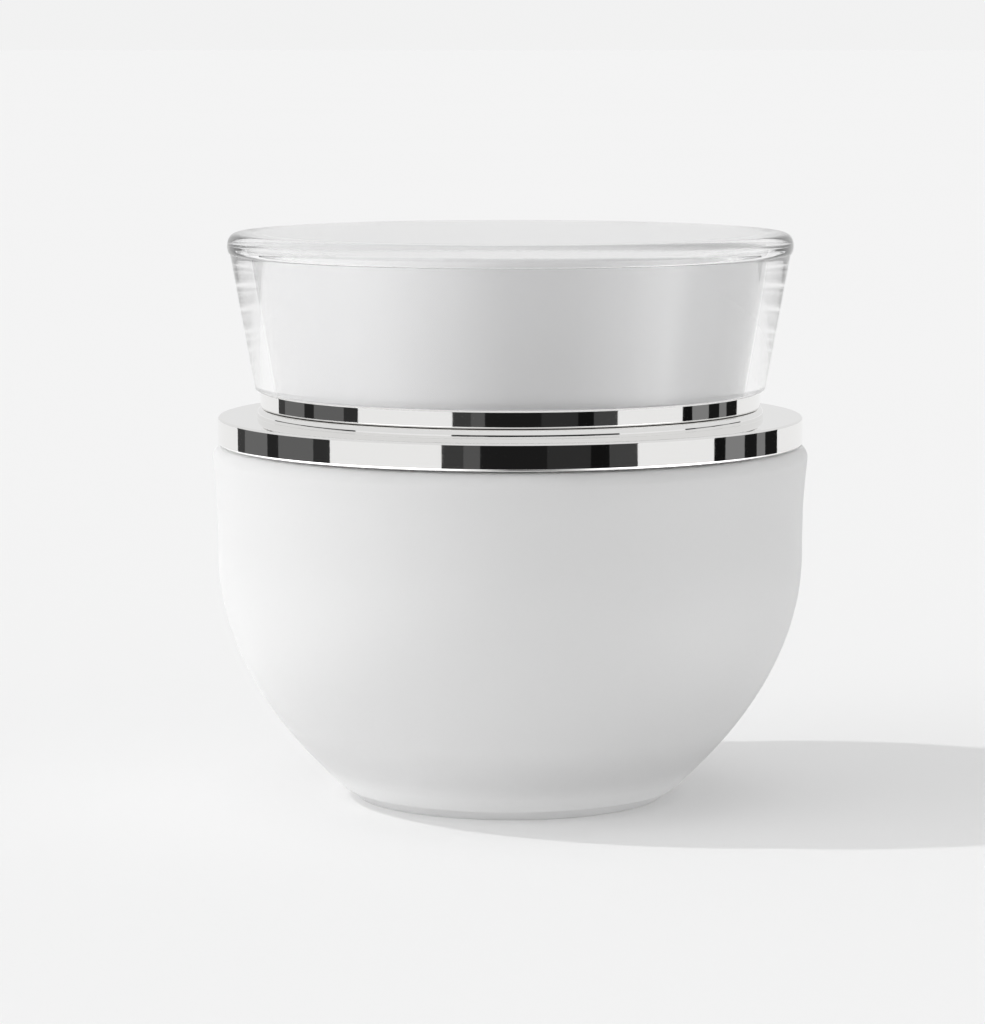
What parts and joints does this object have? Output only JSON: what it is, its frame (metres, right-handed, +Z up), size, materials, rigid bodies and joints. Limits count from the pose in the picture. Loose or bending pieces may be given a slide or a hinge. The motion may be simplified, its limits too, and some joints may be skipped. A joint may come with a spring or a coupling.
{
  "type": "cosmetic cream jar",
  "caption": "Wide double-wall cream jar: frosted bowl on a small foot, mirror collar, and a flared clear screw lid over a white cap.",
  "frame": {"origin": "on the jar's axis, at the flat face of the foot that it stands on", "axes": "+Z up along the jar's axis; X and Y are any two horizontal directions, because the outside is round"},
  "size_m": [0.0688, 0.0688, 0.0655],
  "materials": {
    "frosted_acrylic": "frosted, translucent",
    "white_pp": "moulded satin",
    "mirror_metallised": "vacuum-metallised mirror",
    "natural_pp": "satin, slightly translucent",
    "foam_wad": "closed-cell foam sheet",
    "clear_acrylic": "polished, clear",
    "pearl_white": "smooth pearl gloss"
  },
  "bodies": {
    "pot": {"outer_bowl": "frosted_acrylic", "inner_cup": "white_pp", "shoulder_collar": "mirror_metallised"},
    "seal": {"sealing_disc": "natural_pp"},
    "lid_carrier": {"liner": "foam_wad"},
    "lid": {"overcap": "clear_acrylic", "inner_cap": "pearl_white", "threaded_insert": "white_pp", "lid_trim_ring": "mirror_metallised"}
  },
  "joints": [
    {"name": "lid_lift", "type": "slide", "parent": "pot", "child": "lid_carrier", "axis": [0, 0, 1], "range_m": [0, 0.024]},
    {"name": "lid_turn", "type": "hinge", "parent": "lid_carrier", "child": "lid", "pos_m": [0, 0, 0.0457], "axis": [0, 0, 1], "range_deg": [0, 1440]},
    {"name": "disc_lift", "type": "slide", "parent": "pot", "child": "seal", "axis": [0, 0, 1], "range_m": [0, 0.008]}
  ],
  "couplings": [
    {"joint": "lid_lift", "follows": "lid_turn", "m_per_rad": 0.00095493},
    {"joint": "disc_lift", "follows": "lid_turn", "m_per_rad": 0.00031831}
  ]
}
